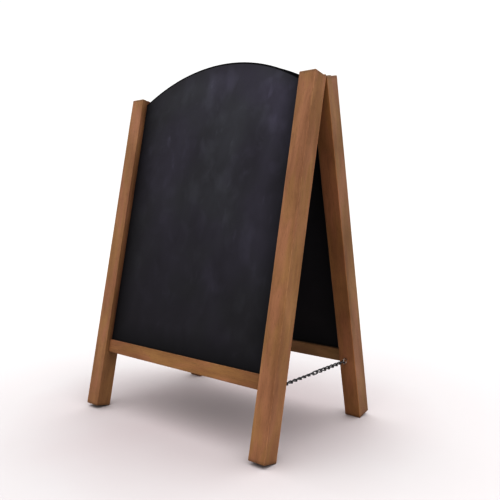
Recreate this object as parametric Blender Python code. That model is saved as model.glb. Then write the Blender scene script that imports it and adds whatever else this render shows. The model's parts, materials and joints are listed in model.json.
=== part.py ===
"""Free-standing A-frame chalkboard (sandwich board) as an assembly of its separate pieces.

Two identical panels lean together and are hinged at the top. Each panel is two square stiles, a
bottom rail tenoned into them and an arch-topped blackboard let into grooves. A link chain on each
side, held by screw eyes, stops the panels from sliding apart.

World frame: metres, +Z up, the floor at z = 0, X along the hinge line, the front panel towards -Y.
Each panel is modelled in its own frame: the origin is on the hinge axis, +Z runs up the stiles and
-Y points out of the panel's face. The rear panel is the front panel turned half round the Z axis.
"""
import math

import bmesh
import bpy
from mathutils import Matrix, Vector

# Driving dimensions, in metres and degrees.
BOARD_WIDTH = 0.674          # across both stiles, outer side to outer side
STILE_LENGTH = 0.930
STILE_WIDTH = 0.048          # across the panel
STILE_DEPTH = 0.048          # from the inner face to the outer face
STILE_EDGE_ROUND = 0.0012
LEAN = 12.0                  # each panel from the vertical

RAIL_BOTTOM = 0.1600         # above the foot of the stiles, measured along them
RAIL_HEIGHT = 0.0370
RAIL_THICKNESS = 0.0245
RAIL_EDGE_ROUND = 0.0012
TENON_LENGTH = 0.028
TENON_HEIGHT = 0.022
TENON_THICKNESS = 0.010
TENON_ABOVE_RAIL_BOTTOM = 0.003

SLATE_THICKNESS = 0.0095
SLATE_CROWN = 1.0005         # top of the arch above the foot of the stiles
SLATE_SPRING = 0.9177        # height of the arch where it meets the stiles
GROOVE_DEPTH = 0.008
ARCH_STEPS = 32

GAP = 0.0003                 # between pieces that touch
CUT_PAST = 0.002             # how far a cutter reaches past the face that it cuts
AXIS_OFF_FACE = 0.0003       # hinge axis in front of the inner faces
AXIS_ABOVE_TOP = 0.0028      # hinge axis above the top ends of the stiles

LEAF_WIDTH = 0.040           # along the hinge line
LEAF_LENGTH = 0.028          # from the hinge axis to the free edge
LEAF_THICKNESS = 0.0015
KNUCKLE_RADIUS = 0.0025
KNUCKLE_COUNT = 3
KNUCKLE_STEPS = 12
PIN_RADIUS = 0.0012
PIN_HEAD_RADIUS = 0.0020
PIN_HEAD_FACE_RADIUS = 0.0012
PIN_HEAD_THICKNESS = 0.0009
PIN_SIDES = 12

SCREW_FROM_AXIS = 0.017
SCREW_SPACING = 0.022
SCREW_LENGTH = 0.022         # depth of its pilot hole
SCREW_RADIUS = 0.0016
SCREW_HEAD_RADIUS = 0.0031
SCREW_BELOW_LEAF = 0.0001    # the head's face below the leaf's upper face
SCREW_HOLE_PLAY = 0.0004     # between the screw and its hole in the leaf
SCREW_END_CLEARANCE = 0.002  # from the tip to the bottom of the pilot hole
SCREW_TAPER = 0.005
SCREW_TIP_RADIUS = 0.0003
SCREW_SIDES = 16
RECESS_DEPTH = 0.0008        # of the cross recess in the head
RECESS_LONG = 0.0019
RECESS_SHORT = 0.0005

EYE_HEIGHT = 0.1745          # above the foot of the stiles, measured along them
EYE_WIRE_RADIUS = 0.0012
EYE_RING_RADIUS = 0.0078     # centre line of the ring
EYE_RING_STEPS = 24
EYE_STANDOFF = 0.0110        # ring centre to the stile's inner face
EYE_SHANK_IN_WOOD = 0.0165
EYE_SHANK_RADIUS = 0.00116   # just under the wire's, so the shank merges into the ring
EYE_TAPER = 0.004
EYE_TIP_RADIUS = 0.0003
EYE_SIDES = 8
EYE_END_CLEARANCE = 0.001    # from the tip to the bottom of the pilot hole

LINKS_PER_CHAIN = 15
LINK_WIRE_RADIUS = 0.0016
LINK_BOW_RADIUS = 0.0039     # centre line of a link's round ends
LINK_TWIST = 90.0            # end to end, about the link's length
LINK_RING_SIDES = 6
LINK_BOW_STEPS = 5
LINK_SIDE_STEPS = 4

# Sizes that follow from the driving dimensions.
LEAN_ANGLE = math.radians(LEAN)
INNER_FACE = -AXIS_OFF_FACE
OUTER_FACE = INNER_FACE - STILE_DEPTH
MIDDLE = (INNER_FACE + OUTER_FACE) / 2
STILE_TOP = -AXIS_ABOVE_TOP
STILE_FOOT = STILE_TOP - STILE_LENGTH
AXIS_HEIGHT = (
    (AXIS_ABOVE_TOP + STILE_LENGTH) * math.cos(LEAN_ANGLE)
    - AXIS_OFF_FACE * math.sin(LEAN_ANGLE)
)
OPENING_HALF = BOARD_WIDTH / 2 - STILE_WIDTH
STILE_CENTRE = BOARD_WIDTH / 2 - STILE_WIDTH / 2
RAIL_TOP = RAIL_BOTTOM + RAIL_HEIGHT

# The chain runs level between the centres of the two ring eyes. Its end links hook round the far
# side of each ring, a bow radius beyond the ring's wire.
EYE_DROP = AXIS_ABOVE_TOP + STILE_LENGTH - EYE_HEIGHT
RING_CENTRE_Y = (
    AXIS_OFF_FACE * math.cos(LEAN_ANGLE)
    + EYE_DROP * math.sin(LEAN_ANGLE)
    - EYE_STANDOFF * math.cos(LEAN_ANGLE)
)
CHAIN_START = EYE_RING_RADIUS - LINK_BOW_RADIUS
CHAIN_LENGTH = 2 * (RING_CENTRE_Y - CHAIN_START)
LINK_DIAMETER = 2 * LINK_WIRE_RADIUS
LINK_OVERLAP = LINK_DIAMETER + GAP
LINK_SPAN = (CHAIN_LENGTH + (LINKS_PER_CHAIN - 1) * LINK_OVERLAP) / LINKS_PER_CHAIN
LINK_PITCH = LINK_SPAN - LINK_OVERLAP
STRAND_LINKS = LINKS_PER_CHAIN // 2


def clear_scene():
    for obj in list(bpy.data.objects):
        bpy.data.objects.remove(obj, do_unlink=True)


def make_material(name, colour, roughness, metallic=0.0):
    material = bpy.data.materials.new(name)
    material.use_nodes = True
    shader = material.node_tree.nodes["Principled BSDF"]
    shader.inputs["Base Color"].default_value = (*colour, 1.0)
    shader.inputs["Roughness"].default_value = roughness
    shader.inputs["Metallic"].default_value = metallic
    return material


def make_empty(name, parent=None, location=(0, 0, 0), rotation=(0, 0, 0)):
    empty = bpy.data.objects.new(name, None)
    bpy.context.scene.collection.objects.link(empty)
    empty.parent = parent
    empty.location = location
    empty.rotation_euler = rotation
    return empty


def mesh_from(name, bm):
    """Store a bmesh as a mesh whose faces all point out."""
    bmesh.ops.recalc_face_normals(bm, faces=bm.faces)
    mesh = bpy.data.meshes.new(name)
    bm.to_mesh(mesh)
    bm.free()
    return mesh


def place(name, mesh, material, parent, location):
    """Put a mesh in the scene as one named piece."""
    if not mesh.materials:
        mesh.materials.append(material)
    obj = bpy.data.objects.new(name, mesh)
    bpy.context.scene.collection.objects.link(obj)
    obj.parent = parent
    obj.location = location


def combine(mesh, tools, operation):
    """Unite or cut a mesh with closed tool meshes, and return the result as a new mesh."""
    scene_objects = bpy.context.scene.collection.objects
    target = bpy.data.objects.new("target", mesh)
    scene_objects.link(target)
    helpers = [target]
    for tool in tools:
        helper = bpy.data.objects.new("tool", tool)
        scene_objects.link(helper)
        helpers.append(helper)
        modifier = target.modifiers.new("combine", "BOOLEAN")
        modifier.operation = operation
        modifier.solver = "EXACT"
        modifier.object = helper
    depsgraph = bpy.context.evaluated_depsgraph_get()
    result = bpy.data.meshes.new_from_object(target.evaluated_get(depsgraph))
    result.name = mesh.name
    for helper in helpers:
        bpy.data.objects.remove(helper, do_unlink=True)
    return result


def box_mesh(name, low, high, edge_round=0.0):
    """A box between two corners, with its edges rounded if asked."""
    size = Vector(high) - Vector(low)
    centre = (Vector(high) + Vector(low)) / 2
    bm = bmesh.new()
    shape = Matrix.Translation(centre) @ Matrix.Diagonal((*size, 1.0))
    bmesh.ops.create_cube(bm, size=1.0, matrix=shape)
    if edge_round:
        bmesh.ops.bevel(bm, geom=bm.edges[:], offset=edge_round, segments=2, profile=0.5, affect="EDGES")
    return mesh_from(name, bm)


def turned_mesh(name, profile, direction, origin, sides):
    """A solid turned about an axis. The profile lists (distance along the axis, radius) pairs."""
    bm = bmesh.new()
    turn = Vector(direction).to_track_quat("Z", "Y").to_matrix()
    start = Vector(origin)
    rings = []
    for along, radius in profile:
        ring = []
        for step in range(sides):
            angle = 2 * math.pi * step / sides
            point = Vector((radius * math.cos(angle), radius * math.sin(angle), along))
            ring.append(bm.verts.new(start + turn @ point))
        rings.append(ring)
    for ring, following in zip(rings, rings[1:]):
        for step in range(sides):
            other = (step + 1) % sides
            bm.faces.new((ring[step], ring[other], following[other], following[step]))
    bm.faces.new(rings[0])
    bm.faces.new(rings[-1])
    return mesh_from(name, bm)


def prism_mesh(name, outline, axis, low, high):
    """Extrude a flat outline of (a, b) pairs from low to high along X (a, b = y, z) or Y (x, z)."""
    bm = bmesh.new()

    def corner(pair, along):
        first, second = pair
        return bm.verts.new((along, first, second) if axis == "X" else (first, along, second))

    near = [corner(pair, low) for pair in outline]
    far = [corner(pair, high) for pair in outline]
    bm.faces.new(near)
    bm.faces.new(far)
    for step in range(len(outline)):
        other = (step + 1) % len(outline)
        bm.faces.new((near[step], near[other], far[other], far[step]))
    return mesh_from(name, bm)


def torus_mesh(name, ring_radius, wire_radius, ring_steps, wire_sides):
    """A closed ring of round wire in the YZ plane, about the origin."""
    bm = bmesh.new()
    loops = []
    for ring_step in range(ring_steps):
        angle = 2 * math.pi * ring_step / ring_steps
        out = Vector((0, math.cos(angle), math.sin(angle)))
        loop = []
        for side in range(wire_sides):
            turn = 2 * math.pi * side / wire_sides
            offset = out * (ring_radius + wire_radius * math.cos(turn))
            across = Vector((wire_radius * math.sin(turn), 0, 0))
            loop.append(bm.verts.new(offset + across))
        loops.append(loop)
    join_loops(bm, loops)
    return mesh_from(name, bm)


def join_loops(bm, loops):
    """Skin a closed run of equal vertex loops."""
    for index, loop in enumerate(loops):
        following = loops[(index + 1) % len(loops)]
        for side in range(len(loop)):
            other = (side + 1) % len(loop)
            bm.faces.new((loop[side], loop[other], following[other], following[side]))


def move_origin(mesh, origin):
    mesh.transform(Matrix.Translation(-Vector(origin)))
    return mesh


# The wooden panel, in the panel's frame. side is -1 for the stile at -X and 1 for the one at +X.

def across(side, near, far):
    """The low and high X of a span between two distances from the panel's middle."""
    ends = (side * near, side * far)
    return min(ends), max(ends)


def arch_height(x):
    """Height of the blackboard's round top above the foot of the stiles."""
    rise = SLATE_CROWN - SLATE_SPRING
    radius = (OPENING_HALF ** 2 + rise ** 2) / (2 * rise)
    return SLATE_CROWN - radius + math.sqrt(radius ** 2 - x ** 2)


def stile_origin(side):
    return (side * STILE_CENTRE, INNER_FACE, STILE_FOOT)


def stile_mesh(side):
    """A stile with its board groove, rail mortise and pilot holes."""
    low_x, high_x = across(side, OPENING_HALF, BOARD_WIDTH / 2)
    low, high = (low_x, OUTER_FACE, STILE_FOOT), (high_x, INNER_FACE, STILE_TOP)
    body = box_mesh("stile", low, high, STILE_EDGE_ROUND)
    past_face = OPENING_HALF - CUT_PAST

    groove_x = across(side, past_face, OPENING_HALF + GROOVE_DEPTH + GAP)
    groove_y = SLATE_THICKNESS / 2 + GAP
    groove = box_mesh(
        "groove",
        (groove_x[0], MIDDLE - groove_y, STILE_FOOT + RAIL_TOP - GROOVE_DEPTH - GAP),
        (groove_x[1], MIDDLE + groove_y, STILE_FOOT + SLATE_SPRING + GAP),
    )

    mortise_x = across(side, past_face, OPENING_HALF + TENON_LENGTH + GAP)
    mortise_y = TENON_THICKNESS / 2 + GAP
    tenon_foot = STILE_FOOT + RAIL_BOTTOM + TENON_ABOVE_RAIL_BOTTOM
    mortise = box_mesh(
        "mortise",
        (mortise_x[0], MIDDLE - mortise_y, tenon_foot - GAP),
        (mortise_x[1], MIDDLE + mortise_y, tenon_foot + TENON_HEIGHT + GAP),
    )

    holes = [screw_pilot(x) for x in screw_places(side)] + [eye_pilot(side)]
    return move_origin(combine(body, [groove, mortise] + holes, "DIFFERENCE"), stile_origin(side))


def screw_places(side):
    return [side * STILE_CENTRE + offset for offset in (-SCREW_SPACING / 2, SCREW_SPACING / 2)]


def screw_pilot(x):
    """The hole for a hinge screw, down from a stile's top end."""
    radius = SCREW_RADIUS + GAP
    profile = [(-CUT_PAST, radius), (SCREW_LENGTH, radius)]
    return turned_mesh("pilot", profile, (0, 0, -1), (x, -SCREW_FROM_AXIS, STILE_TOP), PIN_SIDES)


def eye_pilot(side):
    """The hole for a screw eye, into a stile's inner face."""
    radius = EYE_WIRE_RADIUS + GAP
    profile = [(-CUT_PAST, radius), (EYE_SHANK_IN_WOOD + EYE_END_CLEARANCE, radius)]
    mouth = (side * STILE_CENTRE, INNER_FACE, STILE_FOOT + EYE_HEIGHT)
    return turned_mesh("pilot", profile, (0, -1, 0), mouth, EYE_SIDES)


def rail_origin():
    return (0, MIDDLE, STILE_FOOT + RAIL_BOTTOM)


def rail_mesh():
    """The bottom rail between the stiles, with a tenon at each end and a groove along its top."""
    half = OPENING_HALF - GAP
    foot = STILE_FOOT + RAIL_BOTTOM
    body = box_mesh(
        "rail",
        (-half, MIDDLE - RAIL_THICKNESS / 2, foot),
        (half, MIDDLE + RAIL_THICKNESS / 2, foot + RAIL_HEIGHT),
        RAIL_EDGE_ROUND,
    )
    reach = OPENING_HALF + TENON_LENGTH
    tenon_foot = foot + TENON_ABOVE_RAIL_BOTTOM
    tenon = box_mesh(
        "tenon",
        (-reach, MIDDLE - TENON_THICKNESS / 2, tenon_foot),
        (reach, MIDDLE + TENON_THICKNESS / 2, tenon_foot + TENON_HEIGHT),
    )
    groove_y = SLATE_THICKNESS / 2 + GAP
    groove = box_mesh(
        "groove",
        (-BOARD_WIDTH, MIDDLE - groove_y, foot + RAIL_HEIGHT - GROOVE_DEPTH - GAP),
        (BOARD_WIDTH, MIDDLE + groove_y, foot + RAIL_HEIGHT + CUT_PAST),
    )
    united = combine(body, [tenon], "UNION")
    return move_origin(combine(united, [groove], "DIFFERENCE"), rail_origin())


def slate_origin():
    return (0, MIDDLE, STILE_FOOT + RAIL_TOP)


def slate_mesh():
    """The blackboard: square at the bottom, a plain circular arch at the top."""
    half = OPENING_HALF + GROOVE_DEPTH
    bottom = STILE_FOOT + RAIL_TOP - GROOVE_DEPTH
    outline = [(-half, bottom), (half, bottom)]
    for step in range(ARCH_STEPS + 1):
        x = half * (1 - 2 * step / ARCH_STEPS)
        outline.append((x, STILE_FOOT + arch_height(x)))
    back, face = MIDDLE - SLATE_THICKNESS / 2, MIDDLE + SLATE_THICKNESS / 2
    return move_origin(prism_mesh("blackboard", outline, "Y", back, face), slate_origin())


# The hinge, in the panel's frame, centred on x = 0.

def knuckle_spans():
    """The X spans of the knuckles along the barrel, from -X to +X."""
    step = LEAF_WIDTH / KNUCKLE_COUNT
    first = -LEAF_WIDTH / 2
    spans = []
    for index in range(KNUCKLE_COUNT):
        low = first + index * step + (GAP / 2 if index else 0)
        high = first + (index + 1) * step - (GAP / 2 if index < KNUCKLE_COUNT - 1 else 0)
        spans.append((low, high))
    return spans


def knuckle_outline():
    """The leaf's rolled end: a tongue under the axis that runs into the round barrel."""
    under = -KNUCKLE_RADIUS
    over = under + LEAF_THICKNESS
    meets = math.pi - math.asin(over / KNUCKLE_RADIUS)
    outline = [(-2 * KNUCKLE_RADIUS, over), (-2 * KNUCKLE_RADIUS, under)]
    for step in range(KNUCKLE_STEPS + 1):
        angle = -math.pi / 2 + (meets + math.pi / 2) * step / KNUCKLE_STEPS
        outline.append((KNUCKLE_RADIUS * math.cos(angle), KNUCKLE_RADIUS * math.sin(angle)))
    return outline


def leaf_mesh(own_knuckles):
    """A hinge leaf lying on a stile's top end, with every other knuckle of the barrel."""
    under = -KNUCKLE_RADIUS
    over = under + LEAF_THICKNESS
    clear_of_barrel = KNUCKLE_RADIUS + 2 * GAP
    half = LEAF_WIDTH / 2
    plate = box_mesh("leaf", (-half, -LEAF_LENGTH, under), (half, -clear_of_barrel, over))
    spans = knuckle_spans()
    knuckles = [prism_mesh("knuckle", knuckle_outline(), "X", *spans[index]) for index in own_knuckles]
    united = combine(plate, knuckles, "UNION")

    bore_reach = half + CUT_PAST
    bore_radius = PIN_RADIUS + GAP
    bore_profile = [(-bore_reach, bore_radius), (bore_reach, bore_radius)]
    cutters = [turned_mesh("bore", bore_profile, (1, 0, 0), (0, 0, 0), PIN_SIDES)]
    hole = SCREW_RADIUS + SCREW_HOLE_PLAY
    sink = SCREW_HEAD_RADIUS + SCREW_HOLE_PLAY
    sink_profile = [(-CUT_PAST, hole), (0.0, hole), (LEAF_THICKNESS, sink), (LEAF_THICKNESS + CUT_PAST, sink)]
    for x in (-SCREW_SPACING / 2, SCREW_SPACING / 2):
        mouth = (x, -SCREW_FROM_AXIS, under)
        cutters.append(turned_mesh("sink", sink_profile, (0, 0, 1), mouth, SCREW_SIDES))
    return combine(united, cutters, "DIFFERENCE")


def pin_mesh():
    """The hinge pin with a shallow riveted head at each end."""
    inside = LEAF_WIDTH / 2 + GAP
    outside = inside + PIN_HEAD_THICKNESS
    profile = [
        (-outside, PIN_HEAD_FACE_RADIUS),
        (-(inside + outside) / 2, PIN_HEAD_RADIUS),
        (-inside, PIN_HEAD_RADIUS),
        (-inside, PIN_RADIUS),
    ]
    profile += [(-along, radius) for along, radius in reversed(profile)]
    return turned_mesh("hinge_pin", profile, (1, 0, 0), (0, 0, 0), PIN_SIDES)


def screw_mesh():
    """A countersunk wood screw, its head's face at z = 0 and its shank down -Z."""
    head_depth = LEAF_THICKNESS - SCREW_BELOW_LEAF
    tip = head_depth + SCREW_LENGTH - SCREW_END_CLEARANCE
    profile = [
        (0.0, SCREW_HEAD_RADIUS),
        (head_depth, SCREW_RADIUS),
        (tip - SCREW_TAPER, SCREW_RADIUS),
        (tip, SCREW_TIP_RADIUS),
    ]
    body = turned_mesh("hinge_screw", profile, (0, 0, -1), (0, 0, 0), SCREW_SIDES)
    arms = [
        box_mesh("recess", (-x, -y, -RECESS_DEPTH), (x, y, CUT_PAST))
        for x, y in ((RECESS_LONG, RECESS_SHORT), (RECESS_SHORT, RECESS_LONG))
    ]
    return combine(body, arms, "DIFFERENCE")


# The chains and their eyes.

def eye_mesh():
    """A screw eye: a ring of wire in the YZ plane about the origin, its shank along -Y."""
    ring = torus_mesh("screw_eye", EYE_RING_RADIUS, EYE_WIRE_RADIUS, EYE_RING_STEPS, EYE_SIDES)
    tip = EYE_STANDOFF + EYE_SHANK_IN_WOOD
    profile = [
        (EYE_RING_RADIUS, EYE_SHANK_RADIUS),
        (tip - EYE_TAPER, EYE_SHANK_RADIUS),
        (tip, EYE_TIP_RADIUS),
    ]
    shank = turned_mesh("shank", profile, (0, -1, 0), (0, 0, 0), EYE_SIDES)
    return combine(ring, [shank], "UNION")


def link_path():
    """Centre line of a twisted link along Y, as (point, normal of the link's own plane) pairs."""
    half_span = LINK_SPAN / 2
    half_side = half_span - LINK_BOW_RADIUS
    flat = []
    for end in (1, -1):
        for step in range(LINK_BOW_STEPS + 1):
            angle = math.pi * (step / LINK_BOW_STEPS - 0.5)
            x = -end * LINK_BOW_RADIUS * math.sin(angle)
            y = end * (half_side + LINK_BOW_RADIUS * math.cos(angle))
            flat.append((x, y))
        for step in range(1, LINK_SIDE_STEPS):
            flat.append((-end * LINK_BOW_RADIUS, end * half_side * (1 - 2 * step / LINK_SIDE_STEPS)))
    path = []
    for x, y in flat:
        turn = Matrix.Rotation(math.radians(LINK_TWIST) * y / LINK_SPAN, 3, "Y")
        path.append((turn @ Vector((x, y, 0)), turn @ Vector((0, 0, 1))))
    return path


def link_mesh():
    """One chain link: round wire swept along the twisted path."""
    bm = bmesh.new()
    path = link_path()
    loops = []
    for index, (point, normal) in enumerate(path):
        before = path[index - 1][0]
        after = path[(index + 1) % len(path)][0]
        along = (after - before).normalized()
        up = (normal - along * normal.dot(along)).normalized()
        out = along.cross(up)
        loop = []
        for side in range(LINK_RING_SIDES):
            angle = 2 * math.pi * side / LINK_RING_SIDES
            offset = (up * math.cos(angle) + out * math.sin(angle)) * LINK_WIRE_RADIUS
            loop.append(bm.verts.new(point + offset))
        loops.append(loop)
    join_loops(bm, loops)
    return mesh_from("chain_link", bm)


# The assembly.

def build_panel(name, panel, sides, materials, meshes):
    """One leaf of the board under its empty. sides maps "left" and "right" to the panel's own X side."""
    for word, side in sides.items():
        place(f"{name}_{word}_stile", meshes["stile", side], materials["wood"], panel, stile_origin(side))
        ring_centre = (side * STILE_CENTRE, INNER_FACE + EYE_STANDOFF, STILE_FOOT + EYE_HEIGHT)
        place(f"{name}_{word}_screw_eye", meshes["eye"], materials["zinc"], panel, ring_centre)
        leaf = meshes["leaf", name]
        place(f"{word}_hinge_{name}_leaf", leaf, materials["bronze"], panel, (side * STILE_CENTRE, 0, 0))
        head_face = -KNUCKLE_RADIUS + LEAF_THICKNESS - SCREW_BELOW_LEAF
        for number, x in enumerate(screw_places(side), 1):
            screw_name = f"{word}_hinge_{name}_screw_{number}"
            place(screw_name, meshes["screw"], materials["bronze"], panel, (x, -SCREW_FROM_AXIS, head_face))
    place(f"{name}_bottom_rail", meshes["rail"], materials["wood"], panel, rail_origin())
    place(f"{name}_blackboard", meshes["slate"], materials["black"], panel, slate_origin())


def build_strand(name, panel, side, first, step, link, material):
    """Half a chain hung on its eye: links laid from the ring towards the middle of the chain."""
    ring_centre = (side * STILE_CENTRE, INNER_FACE + EYE_STANDOFF, STILE_FOOT + EYE_HEIGHT)
    strand = make_empty(f"{name}_pivot_{first:02d}", panel, ring_centre, (LEAN_ANGLE, 0, 0))
    for index in range(STRAND_LINKS):
        y = CHAIN_START + LINK_SPAN / 2 + index * LINK_PITCH
        place(f"{name}_link_{first + step * index:02d}", link, material, strand, (0, y, 0))
    return strand


def build():
    clear_scene()
    materials = {
        "wood": make_material("stained_wood", (0.28, 0.14, 0.07), 0.55),
        "black": make_material("chalkboard_paint", (0.030, 0.029, 0.036), 0.75),
        "zinc": make_material("zinc_plated_steel", (0.55, 0.55, 0.56), 0.35, 1.0),
        "bronze": make_material("bronzed_steel", (0.22, 0.14, 0.08), 0.45, 1.0),
        "chain": make_material("dull_chain_steel", (0.16, 0.16, 0.17), 0.45, 1.0),
    }
    meshes = {
        "rail": rail_mesh(),
        "slate": slate_mesh(),
        "eye": eye_mesh(),
        "screw": screw_mesh(),
        ("leaf", "front"): leaf_mesh(range(0, KNUCKLE_COUNT, 2)),
        ("leaf", "rear"): leaf_mesh(range(1, KNUCKLE_COUNT, 2)),
        ("stile", -1): stile_mesh(-1),
        ("stile", 1): stile_mesh(1),
    }
    front = make_empty("front_panel", None, (0, 0, AXIS_HEIGHT), (-LEAN_ANGLE, 0, 0))
    rear = make_empty("rear_panel", None, (0, 0, AXIS_HEIGHT), (-LEAN_ANGLE, 0, math.pi))
    build_panel("front", front, {"left": -1, "right": 1}, materials, meshes)
    build_panel("rear", rear, {"left": 1, "right": -1}, materials, meshes)

    pin = pin_mesh()
    link = link_mesh()
    # The middle link turns about the wire of the strand's last link.
    middle_y = CHAIN_START + STRAND_LINKS * LINK_PITCH + LINK_OVERLAP
    for word, side in (("left", -1), ("right", 1)):
        place(f"{word}_hinge_pin", pin, materials["bronze"], front, (side * STILE_CENTRE, 0, 0))
        chain = f"{word}_chain"
        strand = build_strand(chain, front, side, 1, 1, link, materials["chain"])
        middle = make_empty(f"{chain}_middle_pivot", strand, (0, middle_y, 0))
        middle_link = f"{chain}_link_{STRAND_LINKS + 1:02d}"
        place(middle_link, link, materials["chain"], middle, (0, LINK_SPAN / 2 - LINK_OVERLAP, 0))
        build_strand(chain, rear, -side, LINKS_PER_CHAIN, -1, link, materials["chain"])


build()
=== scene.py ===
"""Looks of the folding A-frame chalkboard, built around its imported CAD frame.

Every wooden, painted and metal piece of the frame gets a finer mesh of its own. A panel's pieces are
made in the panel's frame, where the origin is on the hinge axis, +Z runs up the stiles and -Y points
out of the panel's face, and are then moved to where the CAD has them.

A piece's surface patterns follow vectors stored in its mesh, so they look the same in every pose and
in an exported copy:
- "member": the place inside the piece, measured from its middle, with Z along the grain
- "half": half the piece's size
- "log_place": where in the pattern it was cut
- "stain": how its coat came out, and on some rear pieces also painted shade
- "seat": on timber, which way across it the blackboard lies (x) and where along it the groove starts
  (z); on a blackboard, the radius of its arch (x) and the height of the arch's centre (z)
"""
import json
import math

import bmesh
import bpy
from mathutils import Matrix, Vector, noise


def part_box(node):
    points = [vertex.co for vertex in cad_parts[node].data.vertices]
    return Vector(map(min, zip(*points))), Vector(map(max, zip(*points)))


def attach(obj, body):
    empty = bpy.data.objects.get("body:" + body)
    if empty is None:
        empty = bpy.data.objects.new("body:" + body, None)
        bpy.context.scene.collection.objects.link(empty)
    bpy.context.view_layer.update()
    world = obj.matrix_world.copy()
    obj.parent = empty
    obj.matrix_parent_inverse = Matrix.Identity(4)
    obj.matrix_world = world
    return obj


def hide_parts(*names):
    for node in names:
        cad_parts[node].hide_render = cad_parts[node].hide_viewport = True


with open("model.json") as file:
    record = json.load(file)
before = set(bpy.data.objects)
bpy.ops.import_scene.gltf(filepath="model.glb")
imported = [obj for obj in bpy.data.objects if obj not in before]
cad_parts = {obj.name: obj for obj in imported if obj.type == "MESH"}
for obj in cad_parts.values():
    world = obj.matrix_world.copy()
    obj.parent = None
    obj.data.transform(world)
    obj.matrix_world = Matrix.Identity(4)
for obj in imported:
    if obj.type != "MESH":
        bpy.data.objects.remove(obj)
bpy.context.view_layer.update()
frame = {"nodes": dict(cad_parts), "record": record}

record = frame["record"]
slots = {entry["node"]: entry["material_slot"] for entry in record["subparts"]}

# Shapes, in metres and degrees.
GAP = 0.0003                 # between pieces that touch
SAME_PLACE = 0.00001         # points no further apart than this count as one
CUT_PAST = 0.002             # how far a cutter reaches past the face that it cuts
EDGE_ROUND = 0.0012          # eased edges of the stiles and rails
END_ROUND = 0.0020           # the same across the ends
EDGE_WEAR = 0.0009           # how much rounder the eased edges get where hands have worn them
PLANING_WAVES = 0.00015      # depth of the faces' slow unevenness
WEAR_SCALE = 9.0             # how quickly, per metre, the wear of an edge, its nicks and the waves change
NICK_SCALE = 70.0
WAVE_SCALE_ACROSS = 25
WAVE_SCALE_ALONG = 6
CORNER_STEPS = 4
STATION_SPACING = 0.010      # between the sections along a piece of timber
FACE_MARGIN = 0.0035         # from an edge to the first line of points on a face
BOARD_EDGE_ROUND = 0.0006
ARCH_STEPS = 120
LEAF_CORNER = 0.0035
LEAF_CORNER_STEPS = 8
LEAF_EDGE_ROUND = 0.00025
KNUCKLE_COUNT = 3
PIN_RADIUS = 0.0012
PIN_DOME_STEPS = 6
POINT_SHARE = 0.12           # radius of a dome's or a screw's point, as a share of the full one
SCREW_HOLE_PLAY = 0.0004     # between a screw and its hole in the leaf
SCREW_HEAD_RIM = 0.00018     # depth of the head's thin outer rim
SCREW_TAPER = 0.005
SCREW_STEPS = 120
SCREW_SIDES = 24
RECESS_DEPTH = 0.0012        # of the cross recess in a screw's head
ROUND_SIDES = 32
PILOT_SIDES = 20
EYE_RING_STEPS = 56
EYE_RING_SWEEP = 322         # how far the wire goes round before it stops at the neck
EYE_NECK_TURN = 14           # where the wire leaves the neck
EYE_NECK = 0.0012            # length of the bend from the shank to the ring
EYE_SHANK_STEPS = 110
EYE_POINT_STEPS = 8
EYE_SIDES = 16
LINK_WIRE_RADIUS = 0.0016
LINK_BOW_RADIUS = 0.0039     # centre line of a link's round ends
LINK_TWIST = 90              # end to end, about the link's length
MIDDLE_LINK_TURN = 90        # about the chain: the middle link is flat and stands upright
NEIGHBOUR_TURN = 26          # of the links beside it, so that they stay clear of it where the chain bends
LINK_SIDES = 12
LINK_BOW_STEPS = 14
LINK_SIDE_STEPS = 10
WELD_BULGE = 0.10            # extra wire thickness at a link's weld
WELD_STEPS = 0.8             # how far the bulge reaches along the wire
THREAD_PITCH = 0.0014
THREAD_DEPTH = 0.00035
CREST_SHARE = 0.25           # half the width of the thread's crest at its foot, as a share of the pitch
SMOOTH_ANGLE = math.radians(32)

# A hinge screw's head and its cross recess, as shares of the head's radius.
HEAD_FLAT = 0.75             # the flat middle of the head
HEAD_SHOULDER = 0.93
RECESS_LENGTH = 0.62
RECESS_WIDTH = 0.16
RECESS_MOUTH = (1.1, 1.05)   # how much longer and wider at the mouth, then at the bottom
RECESS_BOTTOM = (0.55, 0.8)

# Camera and light.
CAMERA_PLACE = (1.1349, -1.2526, 0.5959)
CAMERA_YAW = 40.361
CAMERA_PITCH = -5.005
CAMERA_LENS = 42.587
CAMERA_SHIFT = (0.0137, 0.0147)
SKY_HORIZON = 0.25
SKY_ZENITH = 3.5
SKY_SEEN = 1.05              # strength where the camera looks straight at it
SKY_RIGHT_SIDE = 0.15        # how much brighter the sky is on the right than in the middle
DISPLAY_GAMMA = 0.75
FLOOR_SHADED = (0.405, 0.360, 0.366)
FLOOR_NEAR = (0.434, 0.418, 0.421)
FLOOR_FAR = (0.440, 0.436, 0.437)
FLOOR_NEAR_REACH = (0.22, 0.62)      # distances from the middle over which one colour turns to the next
FLOOR_FAR_REACH = (0.75, 1.60)
FLOOR_SIZE = 12.0

# Colours, linear.
WOOD_LIGHT_RED = (0.318, 0.156, 0.085)
WOOD_LIGHT_GOLD = (0.296, 0.162, 0.068)
WOOD_DARK = (0.165, 0.073, 0.033)
WOOD_PORE = (0.062, 0.028, 0.013)
# paler wood of worn edges, also a painted highlight along the edges
WOOD_WORN_AND_LIT = (0.440, 0.270, 0.150)
# painted shade in the corner where the timber meets the blackboard
PAINTED_CORNER_SHADE = (0.50, 0.38, 0.31)
STAIN_BACK = (1.21, 1.04, 0.83)
BOARD_BLACK = (0.013, 0.0115, 0.0135)
BOARD_CHALKY_GREY = (0.083, 0.085, 0.101)
BOARD_CHALKY_VIOLET = (0.088, 0.081, 0.116)
BOARD_EDGE = (0.005, 0.005, 0.006)
METAL_SCRATCH = 1.35         # how much brighter a scratch is than clean metal
DULL_ROUGHENS = 0.22         # how much rougher dull metal is than clean metal

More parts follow.
